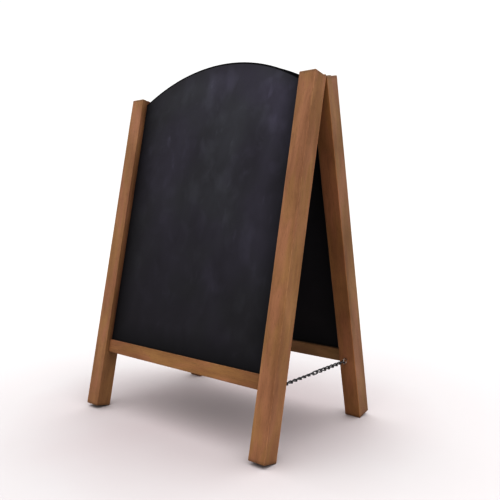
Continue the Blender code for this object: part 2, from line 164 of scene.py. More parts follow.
# Each steel when clean, when dull, and its roughness when clean.
STEELS = {
    "zinc_steel": ((0.50, 0.48, 0.46), (0.22, 0.21, 0.20), 0.20),
    "bronzed_steel": ((0.30, 0.19, 0.11), (0.14, 0.085, 0.05), 0.34),
    "chain_steel": ((0.13, 0.13, 0.135), (0.045, 0.045, 0.048), 0.30),
}

# How each piece took its stain or paint: a share of the usual colour in red, green and blue. The rear right
# stile, the rear bottom rail and the rear blackboard, which stand in shade inside the A, are darkened here
# partly as painted shade.
USUAL_STAIN = (1.0, 1.0, 1.0)
STAINS_AND_SHADE = {
    "front_left_stile": (0.950, 0.965, 0.985),
    "front_right_stile": (0.955, 0.970, 0.945),
    "front_bottom_rail": (0.890, 0.875, 0.800),
    "rear_left_stile": (0.940, 0.980, 1.020),
    "rear_right_stile": (0.837, 0.893, 0.958),
    "rear_bottom_rail": (0.680, 0.869, 0.945),
    "rear_blackboard": (0.600, 0.550, 0.520),
}

# Patterns: scale per metre, detail, roughness, distortion, and a stretch of the place on each axis.
WOOD_PATTERNS = {
    "ring_bends": (1.0, 2.0, 0.55, 0.0, (22.0, 22.0, 2.6)),
    "waver": (1.0, 2.0, 0.55, 0.0, (9.0, 9.0, 7.0)),
    "bands": (62.0, 2.0, 0.55, 0.2, (1.0, 1.0, 0.070)),
    "streaks": (210.0, 3.0, 0.6, 0.0, (1.0, 1.0, 0.070)),
    "fibres": (1100.0, 2.0, 0.6, 0.0, (1.0, 1.0, 0.030)),
    "pores": (1300.0, 1.0, 0.5, 0.0, (1.0, 1.0, 0.055)),
    "blotches": (19.0, 2.0, 0.5, 0.3, (1.0, 1.0, 0.30)),
    "warmth": (26.0, 2.0, 0.5, 0.4, (1.0, 1.0, 0.26)),
    "rubbed": (60.0, 4.0, 0.65),
}
BOARD_PATTERNS = {
    "clouds": (5.5, 3.0, 0.5, 0.4, (1.25, 1.0, 0.9)),
    "wipes": (12.0, 2.0, 0.5, 0.8, (1.0, 1.0, 0.50)),
    "smudges": (19.0, 2.0, 0.5, 0.3, (1.0, 1.0, 0.75)),
    "marks": (31.0, 2.0, 0.5, 0.3, (1.0, 1.0, 0.55)),
    "hue": (5.0, 2.0, 0.5),
    "dust": (1400.0, 2.0, 0.7),
    "grit": (2600.0, 2.0, 0.6),
    "roller": (420.0, 2.0, 0.5),
}
METAL_PATTERNS = {
    "clouds": (260.0, 4.0, 0.65, 0.5),
    "spots": (900.0, 3.0, 0.6),
    "scratches": (2400.0, 2.0, 0.6, 0.0, (1.0, 1.0, 0.05)),
}
FLOOR_MOTTLE = (3.0, 3.0, 0.5)

# The wood's growth rings and streaks, in metres. The pith's distances vary about a usual one.
PITH_ACROSS = (0.055, 0.035)
PITH_DEPTH = (0.020, 0.060)
LOG_STEP = 1.7               # along the log, from one place to cut a piece to the next
LOG_PLACES = 97
RING_SPACING = 0.0046
RING_SLANT = (0.022, -0.014, 0.0)
RING_WANDER = 0.012
STREAK_WAVER = 0.030

# How dark each pattern makes the wood: the pattern's low and high, and the tone at each.
LATE_WOOD_TONE = 0.08
BAND_TONE = (0.34, 0.66, 0.04, 0.30)
STREAK_TONE = (0.3, 0.7, -0.02, 0.08)
FIBRE_TONE = (0.3, 0.7, -0.04, 0.05)
BLOTCH_TONE = (0.34, 0.66, -0.14, 0.38)

# Distances on the wood over which a change sets in, from none of it to all of it.
# Worn edges, their paler band also a painted edge highlight:
WORN_AND_LIT_EDGE = (0.0018, 0.0003)         # from the nearest edge
END_GRAIN = (0.0006, 0.0002)         # from the end
SOAKED_END = (0.009, 0.001)
BACK_FACE = (0.0030, 0.0008)         # from the panel's back
# Painted shade in the corner beside the blackboard:
CORNER_SHADE_FACE = (0.0030, 0.0008)       # from the face that holds the blackboard
CORNER_SHADE_DEPTH = (0.017, 0.005)        # from the timber's middle, where the blackboard sits
CORNER_SHADE_FOOT = (-0.006, 0.006)        # from the foot of the groove

# How chalky each pattern makes the board: the pattern's low and high, and its share.
CLOUD_CHALK = (0.30, 0.72, 0.22)
WIPE_CHALK = (0.34, 0.74, 0.13)
SMUDGE_CHALK = (0.50, 0.70, 0.17)
MARK_CHALK = (0.66, 0.80, 0.26)
PLAIN_CHALK = 0.18
WIPE_LEAN = math.radians(-22)

# How the chalk and the paint change over the board: a value's low and high, and the share at each.
DUST_CHALK = (0.25, 0.75, 0.85, 1.15)
# lighter higher up: partly chalk, partly a painted reflection of the sky
CHALK_AND_REFLECTION_UP = (-0.42, 0.34, 0.20, 1.08)
CHALK_ACROSS = (-0.28, 0.28, 0.64, 1.26)
CHALK_UNDER_ARCH = (0.004, 0.045, 0.65, 1.0)
FRAME_SHADE = (0.008, 0.080, 0.72, 0.0)
ARCH_EDGE = (0.0055, 0.0035)
SHEEN_UNDER_ARCH = (0.0020, 0.0050, 0.0, 0.12)


# The panel's frame and the sizes of the CAD pieces in it.

fold = next(joint for joint in record["behaviour"]["joints"] if joint["name"] == "fold")
foot_axis = next(mount for mount in record["mounts"] if mount["name"] == "front_left_foot")["axis"]
LEAN = math.atan2(-foot_axis[1], -foot_axis[2])
AXIS_HEIGHT = fold["pos_m"][2]
PANEL_FRAMES = {
    "front": Matrix.Translation((0, 0, AXIS_HEIGHT)) @ Matrix.Rotation(-LEAN, 4, "X"),
    "rear": Matrix.Translation((0, 0, AXIS_HEIGHT)) @ Matrix.Rotation(math.pi, 4, "Z")
    @ Matrix.Rotation(-LEAN, 4, "X"),
}


def corners(points):
    """Lowest and highest corner of the box around some points."""
    return [Vector([pick(point[axis] for point in points) for axis in range(3)]) for pick in (min, max)]


def measure(node, panel, keep=None):
    """Lowest and highest corner, in its panel's frame, of a CAD piece or of the points to keep."""
    into_panel = PANEL_FRAMES[panel].inverted()
    points = [into_panel @ vertex.co for vertex in frame["nodes"][node].data.vertices]
    if keep:
        points = [point for point in points if keep(point)]
    return corners(points)


def measure_stile(panel):
    """Box of the panel's stile at its own +X side."""
    return measure(f"{panel}_{'right' if panel == 'front' else 'left'}_stile", panel)


def measure_tenon(panel):
    """Box from tenon to tenon of a panel's rail: everything past the stiles' inner faces."""
    shoulder = measure_stile(panel)[0].x
    return measure(f"{panel}_bottom_rail", panel, lambda point: abs(point.x) > shoulder)


def measure_arch(panel):
    """Radius and centre height of the blackboard's round top, from its crown and its end corners."""
    node = f"{panel}_blackboard"
    half, crown = measure(node, panel)[1].xz
    corner = measure(node, panel, lambda point: abs(point.x) > half - SAME_PLACE)[1].z
    rise = crown - corner
    radius = (half ** 2 + rise ** 2) / (2 * rise)
    return radius, crown - radius


# Node trees.

class Finish:
    """A material under construction, with short calls for its nodes."""

    def __init__(self, name):
        self.material = bpy.data.materials.new(name)
        self.material.use_nodes = True
        self.tree = self.material.node_tree
        self.shader = self.tree.nodes["Principled BSDF"]

    def feed(self, socket, value):
        if isinstance(value, bpy.types.NodeSocket):
            self.tree.links.new(value, socket)
        elif socket.type == "RGBA" and len(value) == 3:
            socket.default_value = (*value, 1.0)
        else:
            socket.default_value = value

    def node(self, kind, output, inputs, **settings):
        made = self.tree.nodes.new(kind)
        for name, value in settings.items():
            setattr(made, name, value)
        for key, value in inputs.items():
            self.feed(made.inputs[key], value)
        return made.outputs[output]

    def attribute(self, name):
        return self.node("ShaderNodeAttribute", "Vector", {}, attribute_name=name)

    def math(self, operation, first, second=0.0):
        return self.node("ShaderNodeMath", 0, {0: first, 1: second}, operation=operation)

    def vector(self, operation, first, second=(0, 0, 0)):
        return self.node("ShaderNodeVectorMath", 0, {0: first, 1: second}, operation=operation)

    def length(self, vector):
        return self.node("ShaderNodeVectorMath", "Value", {0: vector}, operation="LENGTH")

    def parts(self, vector):
        split = self.tree.nodes.new("ShaderNodeSeparateXYZ")
        self.feed(split.inputs[0], vector)
        return list(split.outputs)

    def join(self, x, y, z):
        return self.node("ShaderNodeCombineXYZ", 0, {0: x, 1: y, 2: z})

    def noise(self, place, scale, detail, roughness, distortion=0.0, stretch=None):
        if stretch:
            place = self.vector("MULTIPLY", place, stretch)
        inputs = {
            "Vector": place, "Scale": scale, "Detail": detail,
            "Roughness": roughness, "Distortion": distortion,
        }
        return self.node("ShaderNodeTexNoise", "Fac", inputs)

    def sway(self, pattern, size):
        """A pattern between 0 and 1 as a distance to either side of nothing."""
        return self.math("MULTIPLY", self.math("SUBTRACT", pattern, 0.5), size)

    def spread(self, value, low, high, to_low=0.0, to_high=1.0):
        """A value between low and high as one between to_low and to_high, held at both ends."""
        inputs = {0: value, 1: low, 2: high, 3: to_low, 4: to_high}
        return self.node("ShaderNodeMapRange", 0, inputs)

    def mix(self, share, first, second, blend="MIX"):
        made = self.tree.nodes.new("ShaderNodeMix")
        made.data_type = "RGBA"
        made.blend_type = blend
        for index, value in ((0, share), (6, first), (7, second)):
            self.feed(made.inputs[index], value)
        return made.outputs[2]

    def tint(self, colour, filter_colour):
        return self.mix(1.0, colour, filter_colour, "MULTIPLY")

    def bump(self, height, distance):
        return self.node("ShaderNodeBump", 0, {"Height": height, "Distance": distance, "Strength": 1.0})

    def set(self, **inputs):
        for name, value in inputs.items():
            self.feed(self.shader.inputs[name.replace("_", " ")], value)


def edge_and_end_room(finish):
    """Distances from a point on a box-shaped piece to its nearest edge and to its nearest end.

    The nearest edge is as far away as the second nearest of the three pairs of faces."""
    member = finish.vector("ABSOLUTE", finish.attribute("member"))
    rooms = finish.parts(finish.vector("SUBTRACT", finish.attribute("half"), member))
    smallest = finish.math("MINIMUM", finish.math("MINIMUM", rooms[0], rooms[1]), rooms[2])
    largest = finish.math("MAXIMUM", finish.math("MAXIMUM", rooms[0], rooms[1]), rooms[2])
    total = finish.math("ADD", finish.math("ADD", rooms[0], rooms[1]), rooms[2])
    return finish.math("SUBTRACT", total, finish.math("ADD", smallest, largest)), rooms[2]


def stained_wood():
    """Brown stained hardwood: growth rings, fibres, pores, blotchy stain, edges paler from wear that also
    carry a painted highlight, end grain, and painted shade beside the blackboard.
    """
    finish = Finish("stained_wood")
    member = finish.attribute("member")
    place = finish.vector("ADD", member, finish.attribute("log_place"))
    edge_room, end_room = edge_and_end_room(finish)
    across, depth, along = finish.parts(member)
    half_width, half_depth, _ = finish.parts(finish.attribute("half"))

    # Growth rings about a pith outside the timber that runs at a slight slant to it.
    slant = finish.vector("MULTIPLY", finish.join(along, along, 0.0), RING_SLANT)
    flat = finish.vector("MULTIPLY", finish.vector("ADD", place, slant), (1.0, 1.0, 0.0))
    wander = finish.sway(finish.noise(place, *WOOD_PATTERNS["ring_bends"]), RING_WANDER)
    rings = finish.math("MULTIPLY", finish.math("ADD", finish.length(flat), wander), 1 / RING_SPACING)
    phase = finish.math("FRACT", rings)
    late_wood = finish.math("MULTIPLY", finish.spread(phase, 0.15, 0.90), finish.spread(phase, 1.0, 0.90))

    # Long streaks that waver a little from side to side, then fibres, pores and blotches of stain.
    waver = finish.sway(finish.noise(place, *WOOD_PATTERNS["waver"]), STREAK_WAVER)
    wavering = finish.vector("ADD", place, finish.join(waver, waver, 0.0))
    bands = finish.noise(wavering, *WOOD_PATTERNS["bands"])
    streaks = finish.noise(wavering, *WOOD_PATTERNS["streaks"])
    fibres = finish.noise(place, *WOOD_PATTERNS["fibres"])
    pores = finish.spread(finish.noise(place, *WOOD_PATTERNS["pores"]), 0.60, 0.70)
    blotches = finish.noise(wavering, *WOOD_PATTERNS["blotches"])
    warmth = finish.noise(wavering, *WOOD_PATTERNS["warmth"])

    tone = finish.math("MULTIPLY", late_wood, LATE_WOOD_TONE)
    darkenings = ((bands, BAND_TONE), (streaks, STREAK_TONE), (fibres, FIBRE_TONE), (blotches, BLOTCH_TONE))
    for pattern, reach in darkenings:
        tone = finish.math("ADD", tone, finish.spread(pattern, *reach))
    light = finish.mix(finish.spread(warmth, 0.40, 0.60), WOOD_LIGHT_RED, WOOD_LIGHT_GOLD)
    colour = finish.mix(tone, light, WOOD_DARK)
    colour = finish.mix(finish.math("MULTIPLY", pores, 0.30), colour, WOOD_PORE)
    # On some rear pieces this tint also darkens them as painted shade.
    colour = finish.tint(colour, finish.attribute("stain"))
    back = finish.spread(finish.math("SUBTRACT", half_depth, depth), *BACK_FACE)
    colour = finish.mix(back, colour, finish.tint(colour, STAIN_BACK))

    # Painted shade in the corner along the joint with the blackboard.
    seat_way, _, seat_foot = finish.parts(finish.attribute("seat"))
    seat_room = finish.math("SUBTRACT", half_width, finish.math("MULTIPLY", across, seat_way))
    corner_shade = finish.math("MULTIPLY", finish.spread(finish.math("ABSOLUTE", depth), *CORNER_SHADE_DEPTH),
                         finish.spread(seat_room, *CORNER_SHADE_FACE))
    corner_shade = finish.math("MULTIPLY", corner_shade, finish.spread(blotches, 0.3, 0.7, 0.75, 1.0))
    above_foot = finish.math("SUBTRACT", along, seat_foot)
    corner_shade = finish.math("MULTIPLY", corner_shade, finish.spread(above_foot, *CORNER_SHADE_FOOT))
    colour = finish.mix(corner_shade, colour, finish.tint(colour, PAINTED_CORNER_SHADE))

    # End grain drinks more stain; worn edges show paler wood in broken stretches, a band that is also a
    # painted highlight along the edges.
    soaked = finish.spread(end_room, *SOAKED_END, 0.0, 0.42)
    end_grain = finish.math("MULTIPLY", finish.spread(end_room, *END_GRAIN), 0.50)
    colour = finish.mix(finish.math("MAXIMUM", soaked, end_grain), colour, WOOD_PORE)
    rubbed = finish.spread(finish.noise(place, *WOOD_PATTERNS["rubbed"]), 0.44, 0.62)
    worn_and_lit = finish.math("MULTIPLY", finish.spread(edge_room, *WORN_AND_LIT_EDGE), rubbed)
    colour = finish.mix(finish.math("MULTIPLY", worn_and_lit, 0.30), colour, WOOD_WORN_AND_LIT)

    height = finish.math("ADD", finish.math("MULTIPLY", fibres, 0.5), finish.math("MULTIPLY", streaks, 0.4))
    height = finish.math("SUBTRACT", height, finish.math("MULTIPLY", pores, 0.9))
    height = finish.math("SUBTRACT", height, finish.math("MULTIPLY", late_wood, 0.15))
    sheen = finish.spread(blotches, 0.3, 0.7, 0.50, 0.66)
    sheen = finish.math("ADD", sheen, finish.math("MULTIPLY", pores, 0.15))
    sheen = finish.math("SUBTRACT", sheen, finish.math("MULTIPLY", worn_and_lit, 0.10))
    finish.set(Base_Color=colour, Roughness=sheen, Normal=finish.bump(height, 0.00012))
    finish.set(Specular_IOR_Level=0.25)
    return finish.material


def chalkboard():
    """Matt black board paint with wiped chalk: soft clouds, wiping strokes, a few leftover marks, a painted
    reflection that lightens it towards the top, and painted shade along its frame.
    """
    finish = Finish("chalkboard")
    member = finish.attribute("member")
    place = finish.vector("ADD", member, finish.attribute("log_place"))
    x, _, z = finish.parts(member)
    half_x, _, half_z = finish.parts(finish.attribute("half"))
    arch_radius, _, arch_centre = finish.parts(finish.attribute("seat"))

    # Distance to the frame around the board, and to the arch above it.
    frame_room = finish.math("MINIMUM", finish.math("SUBTRACT", half_x, finish.math("ABSOLUTE", x)),
                             finish.math("ADD", half_z, z))
    spoke = finish.join(x, 0.0, finish.math("SUBTRACT", z, arch_centre))
    arch_room = finish.math("SUBTRACT", arch_radius, finish.length(spoke))

    # Chalk, more of it to the right; the board also grows lighter higher up, partly chalk and partly a
    # painted reflection of the sky.
    leaning = finish.node("ShaderNodeVectorRotate", 0, {"Vector": place, "Angle": WIPE_LEAN},
                          rotation_type="Y_AXIS")
    layers = (("clouds", place, CLOUD_CHALK), ("wipes", leaning, WIPE_CHALK),
              ("smudges", place, SMUDGE_CHALK), ("marks", place, MARK_CHALK))
    chalk = PLAIN_CHALK
    for name, where, (low, high, share) in layers:
        pattern = finish.spread(finish.noise(where, *BOARD_PATTERNS[name]), low, high)
        chalk = finish.math("ADD", chalk, finish.math("MULTIPLY", pattern, share))
    dust = finish.noise(place, *BOARD_PATTERNS["dust"])
    fades = ((dust, DUST_CHALK), (z, CHALK_AND_REFLECTION_UP), (x, CHALK_ACROSS), (arch_room, CHALK_UNDER_ARCH))
    for value, reach in fades:
        chalk = finish.math("MULTIPLY", chalk, finish.spread(value, *reach))
    hue = finish.spread(finish.noise(place, *BOARD_PATTERNS["hue"]), 0.4, 0.6)
    colour = finish.mix(chalk, BOARD_BLACK, finish.mix(hue, BOARD_CHALKY_GREY, BOARD_CHALKY_VIOLET))
    # On the rear blackboard this tint also darkens it as painted shade.
    colour = finish.tint(colour, finish.attribute("stain"))
    colour = finish.mix(finish.spread(frame_room, *FRAME_SHADE), colour, BOARD_EDGE)
    colour = finish.mix(finish.spread(arch_room, *ARCH_EDGE), colour, BOARD_EDGE)

    grit = finish.math("MULTIPLY", finish.noise(place, *BOARD_PATTERNS["grit"]), 0.4)
    height = finish.math("ADD", grit, finish.noise(place, *BOARD_PATTERNS["roller"]))
    finish.set(Base_Color=colour, Roughness=finish.spread(chalk, 0.0, 0.6, 0.62, 0.82))
    finish.set(Normal=finish.bump(height, 0.00006))
    finish.set(Specular_IOR_Level=finish.spread(arch_room, *SHEEN_UNDER_ARCH))
    return finish.material


def plated_steel(name):
    """Plated steel: a cloudy plating with dull patches, fine scratches and handling marks."""
    clean, dull, roughness = STEELS[name]
    finish = Finish(name)
    place = finish.vector("ADD", finish.attribute("member"), finish.attribute("log_place"))
    clouds = finish.noise(place, *METAL_PATTERNS["clouds"])
    spots = finish.spread(finish.noise(place, *METAL_PATTERNS["spots"]), 0.56, 0.70)
    scratches = finish.noise(place, *METAL_PATTERNS["scratches"])
    dulled = finish.math("MAXIMUM", finish.spread(clouds, 0.35, 0.70), finish.math("MULTIPLY", spots, 0.8))
    colour = finish.mix(dulled, clean, dull)
    bright = [channel * METAL_SCRATCH for channel in clean]
    colour = finish.mix(finish.spread(scratches, 0.5, 0.8, 0.0, 0.25), colour, bright)
    height = finish.math("ADD", clouds, finish.math("MULTIPLY", scratches, 0.4))
    finish.set(Base_Color=colour, Metallic=1.0, Normal=finish.bump(height, 0.00003))
    finish.set(Roughness=finish.spread(dulled, 0.0, 1.0, roughness, roughness + DULL_ROUGHENS))
    return finish.material


def studio_floor():
    """Seamless pale floor with a painted shadow: its colour turns a little warmer and darker towards the
    middle, under the board.
    """
    finish = Finish("studio_floor")
    place = finish.node("ShaderNodeNewGeometry", "Position", {})
    mottle = finish.spread(finish.noise(place, *FLOOR_MOTTLE), 0.3, 0.7, -0.05, 0.05)
    distance = finish.math("ADD", finish.length(place), mottle)
    # Painted shadow: the floor colour is darker and warmer near the middle.
    colour = finish.mix(finish.spread(distance, *FLOOR_NEAR_REACH), FLOOR_SHADED, FLOOR_NEAR)
    finish.set(Base_Color=finish.mix(finish.spread(distance, *FLOOR_FAR_REACH), colour, FLOOR_FAR))
    finish.set(Roughness=0.8, Specular_IOR_Level=0.2)
    return finish.material


# Meshes.

def add_to_scene(name, data):
    made = bpy.data.objects.new(name, data)
    bpy.context.scene.collection.objects.link(made)
    return made


def cut_or_join(bm, tools, operation):
    """Cut a bmesh with closed tool bmeshes, or unite it with them, and return the result."""
    helpers = []
    for part in [bm] + tools:
        mesh = bpy.data.meshes.new("helper")
        bmesh.ops.recalc_face_normals(part, faces=part.faces)
        part.to_mesh(mesh)
        part.free()
        helpers.append(add_to_scene("helper", mesh))
    target = helpers[0]
    for tool in helpers[1:]:
        modifier = target.modifiers.new("combine", "BOOLEAN")
        modifier.operation = operation
        modifier.solver = "EXACT"
        modifier.object = tool
    depsgraph = bpy.context.evaluated_depsgraph_get()
    result = bmesh.new()
    result.from_mesh(target.evaluated_get(depsgraph).to_mesh())
    for helper in helpers:
        bpy.data.objects.remove(helper, do_unlink=True)
    return result


def box(low, high):
    bm = bmesh.new()
    size = Vector(high) - Vector(low)
    centre = (Vector(high) + Vector(low)) / 2
    bmesh.ops.create_cube(bm, size=1.0, matrix=Matrix.Translation(centre) @ Matrix.Diagonal((*size, 1.0)))
    return bm


def skin(bm, loops, closed=False):
    """Quads between equal vertex loops; an open run gets a cap at each end."""
    following = loops[1:] + loops[:1] if closed else loops[1:]
    for loop, after in zip(loops, following):
        for step in range(len(loop)):
            other = (step + 1) % len(loop)
            bm.faces.new((loop[step], loop[other], after[other], after[step]))
    if not closed:
        bm.faces.new(loops[0])
        bm.faces.new(loops[-1])


def turned(profile, direction, origin, sides=ROUND_SIDES):
    """A solid turned about an axis from (distance along it, radius) pairs."""
    bm = bmesh.new()
    turn = Vector(direction).to_track_quat("Z", "Y").to_matrix()
    loops = []
    for along, radius in profile:
        loop = []
        for step in range(sides):
            angle = 2 * math.pi * step / sides
            point = Vector((radius * math.cos(angle), radius * math.sin(angle), along))
            loop.append(bm.verts.new(Vector(origin) + turn @ point))
        loops.append(loop)
    skin(bm, loops)
    return bm


def prism(outline, low, high):
    """A flat outline of (y, z) pairs extruded along X."""
    bm = bmesh.new()
    skin(bm, [[bm.verts.new((x, y, z)) for y, z in outline] for x in (low, high)])
    return bm


def rounded_section(half_a, half_b, inset, radii):
    """A rectangle of points with its own radius at each corner and a guide point beside each corner."""
    points = []
    for quarter, radius in enumerate(radii):
        sign_a = 1 if quarter in (0, 3) else -1
        sign_b = 1 if quarter in (0, 1) else -1
        centre_a = sign_a * (half_a - inset - radius)
        centre_b = sign_b * (half_b - inset - radius)
        before = (sign_a * (half_a - inset), sign_b * (half_b - inset - FACE_MARGIN))
        after = (sign_a * (half_a - inset - FACE_MARGIN), sign_b * (half_b - inset))
        if quarter % 2:
            before, after = after, before
        points.append(before)
        for step in range(CORNER_STEPS + 1):
            angle = math.pi / 2 * (quarter + step / CORNER_STEPS)
            points.append((centre_a + radius * math.cos(angle), centre_b + radius * math.sin(angle)))
        points.append(after)
    return points


def timber(half, seed):
    """A piece of sawn and planed timber about the origin, Z along the grain, its edges eased by hand.

    half is half its size. Its surface never stands outside that box."""
    bm = bmesh.new()
    half_a, half_b, half_length = half
    stations = []
    for step in range(CORNER_STEPS + 1):
        angle = math.pi / 2 * step / CORNER_STEPS
        stations.append((END_ROUND * (1 - math.cos(angle)), END_ROUND * (1 - math.sin(angle))))
    count = round(2 * half_length / STATION_SPACING)
    run = 2 * (half_length - END_ROUND) / count
    stations += [(END_ROUND + step * run, 0.0) for step in range(1, count)]
    stations += [(2 * half_length - along, inset) for along, inset in reversed(stations[:CORNER_STEPS + 1])]
    loops = []
    for along, inset in stations:
        z = along - half_length
        radii = []
        for corner in range(4):
            wear = noise.noise(Vector((seed * 7.3 + corner * 3.1, z * WEAR_SCALE, 0.0)))
            nick = noise.noise(Vector((seed * 5.9 + corner * 4.7, z * NICK_SCALE, 3.0)))
            rounder = EDGE_WEAR * max(0.0, min(1.0, 0.5 + wear + 0.6 * max(0.0, nick - 0.25)))
            radii.append(EDGE_ROUND + rounder)
        loop = []
        for a, b in rounded_section(half_a, half_b, inset, radii):
            wave = noise.noise(Vector((a * WAVE_SCALE_ACROSS + seed * 11.0, b * WAVE_SCALE_ACROSS,
                                       z * WAVE_SCALE_ALONG)))
            shrink = PLANING_WAVES * (0.5 + 0.5 * wave)
            a -= math.copysign(min(shrink, abs(a)), a)
            b -= math.copysign(min(shrink, abs(b)), b)
            loop.append(bm.verts.new((a, b, z)))
        loops.append(loop)
    skin(bm, loops)
    return bm


def lay_along(bm, axis, centre):
    """Turn a mesh made with Z along its length so that it lies along an axis, about a centre."""
    turn = Matrix.Rotation(math.pi / 2, 4, "Y") if axis == "X" else Matrix.Identity(4)
    bm.transform(Matrix.Translation(centre) @ turn)
    return bm


def board_outline(low, high, arch_radius, arch_centre, inset):
    """The arch-topped blackboard's outline of (x, z) pairs, drawn in by inset."""
    half = high.x - inset
    points = [(-half, low.z + inset), (half, low.z + inset)]
    for step in range(ARCH_STEPS + 1):
        x = half * (1 - 2 * step / ARCH_STEPS)
        points.append((x, arch_centre + math.sqrt((arch_radius - inset) ** 2 - x ** 2)))
    return points


def sweep(bm, path, radius_at, sides, closed):
    """A round wire along a path of points; radius_at(index, turn) gives its radius."""
    loops = []
    count = len(path)
    normal = None
    for index, point in enumerate(path):
        before = path[index - 1] if index or closed else point
        after = path[(index + 1) % count] if index < count - 1 or closed else point
        along = (after - before).normalized()
        if normal is None:
            normal = along.orthogonal().normalized()
        normal = (normal - along * normal.dot(along)).normalized()
        binormal = along.cross(normal)
        loop = []
        for side in range(sides):
            turn = 2 * math.pi * side / sides
            offset = normal * math.cos(turn) + binormal * math.sin(turn)
            loop.append(bm.verts.new(point + offset * radius_at(index, turn)))
        loops.append(loop)
    skin(bm, loops, closed)


def thread_radius(radius, along, turn):
    """Radius of a coarse wood-screw thread: a sharp crest that winds round the shank."""
    phase = (along / THREAD_PITCH - turn / (2 * math.pi)) % 1.0
    crest = max(0.0, 1.0 - abs(phase - 0.5) / CREST_SHARE)
    return radius - THREAD_DEPTH * (1 - crest)


# Pieces.

def add_piece(node, bm, material, body, place, grain_axis="Z", patterned_box=None, seat=(0.0, 0.0, 0.0)):
    """Store a bmesh as the finished form of a CAD node, riding on the node's body."""
    bmesh.ops.recalc_face_normals(bm, faces=bm.faces)
    mesh = bpy.data.meshes.new(node + "_finished")
    bm.to_mesh(mesh)
    bm.free()
    mesh.materials.append(material)
    mesh.shade_smooth()
    mesh.set_sharp_from_angle(angle=SMOOTH_ANGLE)
    store_pattern(mesh, node, grain_axis, patterned_box, seat)
    mesh.transform(place)
    piece = add_to_scene(node + "_finished", mesh)
    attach(piece, body)
    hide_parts(node)


def store_pattern(mesh, node, grain_axis, patterned_box, seat):
    """Write the vectors that the materials read into a piece's mesh."""
    points = [vertex.co for vertex in mesh.vertices]
    low, high = patterned_box or corners(points)
    centre = (low + high) / 2
    half = (high - low) / 2
    order = (2, 1, 0) if grain_axis == "X" else (0, 1, 2)
    seed = sum(ord(letter) * (place + 3) for place, letter in enumerate(node))
    log_place = (PITH_ACROSS[0] + PITH_ACROSS[1] * noise.noise(Vector((seed * 0.37, 0.5, 0.5))),
                 PITH_DEPTH[0] + PITH_DEPTH[1] * noise.noise(Vector((0.5, seed * 0.41, 0.5))),
                 (seed % LOG_PLACES) * LOG_STEP)
    same = {"half": [half[axis] for axis in order], "log_place": log_place,
            "stain": STAINS_AND_SHADE.get(node, USUAL_STAIN), "seat": seat}
    values = {name: list(vector) * len(points) for name, vector in same.items()}
    values["member"] = [(point - centre)[axis] for point in points for axis in order]
    for name, numbers in values.items():
        layer = mesh.attributes.new(name, "FLOAT_VECTOR", "POINT")
        layer.data.foreach_set("vector", numbers)


def build_stile(panel, side_word, side, wood):
    """A square post: groove for the blackboard, mortise for the rail, holes for screws and eye."""
    node = f"{panel}_{side_word}_stile"
    low, high = measure(node, panel)
    centre = (low + high) / 2
    seed = len(node) + 2 * side + (panel == "rear")
    bm = lay_along(timber((high - low) / 2, seed), "Z", centre)

    board_low, board_high = measure(f"{panel}_blackboard", panel)
    tenon_low, tenon_high = measure_tenon(panel)
    arch_radius, arch_centre = measure_arch(panel)
    inner = low.x if side > 0 else high.x
    before = inner - side * CUT_PAST
    groove_x = sorted((before, side * (board_high.x + GAP)))
    groove_top = arch_centre + math.sqrt(arch_radius ** 2 - inner ** 2) + GAP
    mortise_x = sorted((before, side * (tenon_high.x + GAP)))
    tools = [
        box((groove_x[0], board_low.y - GAP, board_low.z - GAP),
            (groove_x[1], board_high.y + GAP, groove_top)),
        box((mortise_x[0], tenon_low.y - GAP, tenon_low.z - GAP),
            (mortise_x[1], tenon_high.y + GAP, tenon_high.z + GAP)),
    ]
    for number in (1, 2):
        screw_low, screw_high = measure(f"{side_word}_hinge_{panel}_screw_{number}", panel)
        middle = (screw_low + screw_high) / 2
        radius = shank_radius(panel, side_word) + GAP
        profile = [(-CUT_PAST, radius), (high.z - screw_low.z + GAP, radius)]
        tools.append(turned(profile, (0, 0, -1), (middle.x, middle.y, high.z), PILOT_SIDES))
    eye_low, eye_high = measure(f"{panel}_{side_word}_screw_eye", panel)
    middle = (eye_low + eye_high) / 2
    radius = (eye_high.x - eye_low.x) / 2 + GAP
    profile = [(-CUT_PAST, radius), (high.y - eye_low.y + GAP, radius)]
    tools.append(turned(profile, (0, -1, 0), (middle.x, high.y, middle.z), PILOT_SIDES))
    add_piece(node, cut_or_join(bm, tools, "DIFFERENCE"), wood, f"{panel}_panel",
              PANEL_FRAMES[panel], "Z", (low, high), (-side, 0.0, board_low.z - centre.z))


def build_rail(panel, wood):
    """The bottom rail, a tenon at each end and a groove for the blackboard along its top."""
    node = f"{panel}_bottom_rail"
    low, high = measure(node, panel)
    shoulder = measure_stile(panel)[0].x - GAP
    centre = (low + high) / 2
    half = (high - low) / 2
    bm = lay_along(timber((half.z, half.y, shoulder), 40 + len(node)), "X", centre)
    bm = cut_or_join(bm, [box(*measure_tenon(panel))], "UNION")
    board_low, board_high = measure(f"{panel}_blackboard", panel)
    groove = box((low.x - CUT_PAST, board_low.y - GAP, board_low.z - GAP),
                 (high.x + CUT_PAST, board_high.y + GAP, high.z + CUT_PAST))
    add_piece(node, cut_or_join(bm, [groove], "DIFFERENCE"), wood, f"{panel}_panel",
              PANEL_FRAMES[panel], "X", (low, high), (1.0, 0.0, low.x))


